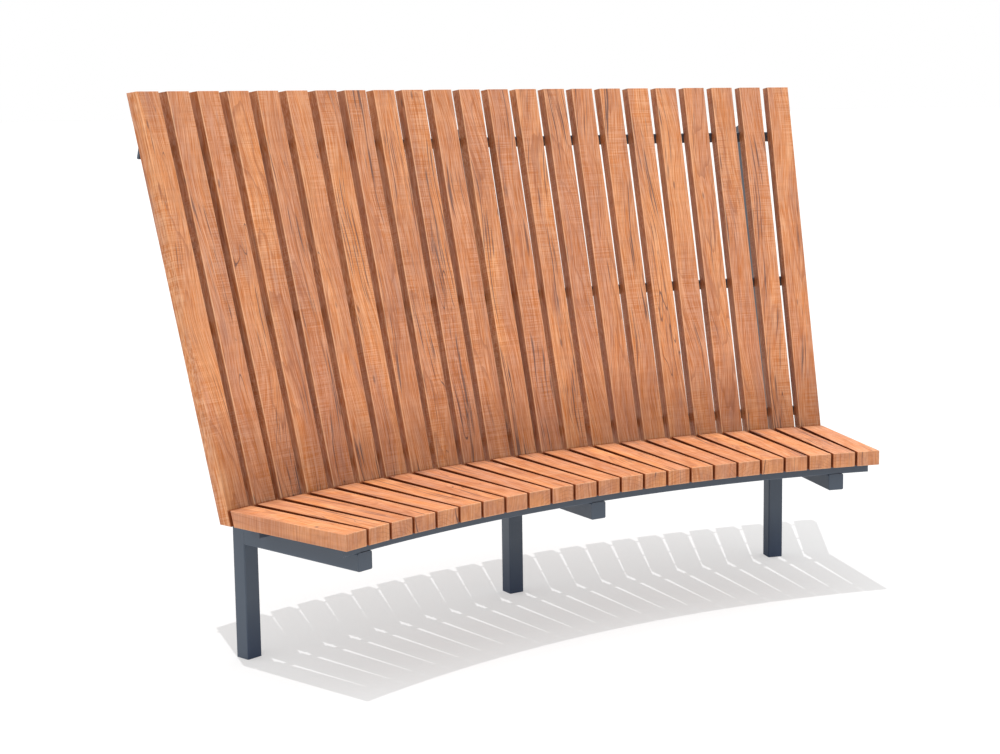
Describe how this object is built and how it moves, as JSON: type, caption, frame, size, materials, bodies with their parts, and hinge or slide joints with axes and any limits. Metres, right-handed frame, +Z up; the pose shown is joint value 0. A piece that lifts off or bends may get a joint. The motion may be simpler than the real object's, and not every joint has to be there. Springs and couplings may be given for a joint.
{
  "type": "curved bench with backrest",
  "caption": "Curved outdoor bench with radial timber seat boards, a tall leaning backrest of spaced timber boards and a square-tube steel frame on upright legs.",
  "frame": {"origin": "on the ground, under the middle of the outline", "axes": "+X along the bench to the right seen from the front, +Y from the front edge of the seat towards the backrest, +Z up"},
  "size_m": [2.3256, 0.9862, 1.5786],
  "materials": {
    "wood": "oiled, planed",
    "frame": "satin powder coat"
  },
  "bodies": {
    "root": {"seat_board_01": "wood", "seat_board_02": "wood", "seat_board_03": "wood", "seat_board_04": "wood", "seat_board_05": "wood", "seat_board_06": "wood", "seat_board_07": "wood", "seat_board_08": "wood", "seat_board_09": "wood", "seat_board_10": "wood", "seat_board_11": "wood", "seat_board_12": "wood", "seat_board_13": "wood", "seat_board_14": "wood", "seat_board_15": "wood", "seat_board_16": "wood", "seat_board_17": "wood", "seat_board_18": "wood", "seat_board_19": "wood", "seat_board_20": "wood", "seat_board_21": "wood", "seat_board_22": "wood", "seat_board_23": "wood", "back_board_01": "wood", "back_board_02": "wood", "back_board_03": "wood", "back_board_04": "wood", "back_board_05": "wood", "back_board_06": "wood", "back_board_07": "wood", "back_board_08": "wood", "back_board_09": "wood", "back_board_10": "wood", "back_board_11": "wood", "back_board_12": "wood", "back_board_13": "wood", "back_board_14": "wood", "back_board_15": "wood", "back_board_16": "wood", "back_board_17": "wood", "back_board_18": "wood", "back_board_19": "wood", "back_board_20": "wood", "back_board_21": "wood", "back_board_22": "wood", "back_board_23": "wood", "leg_left": "frame", "seat_arm_left": "frame", "back_post_left": "frame", "leg_middle": "frame", "seat_arm_middle": "frame", "back_post_middle": "frame", "leg_right": "frame", "seat_arm_right": "frame", "back_post_right": "frame", "seat_rail_front": "frame", "seat_rail_rear": "frame", "back_rail_low": "frame", "back_rail_middle": "frame", "back_rail_top": "frame"}
  },
  "joints": []
}
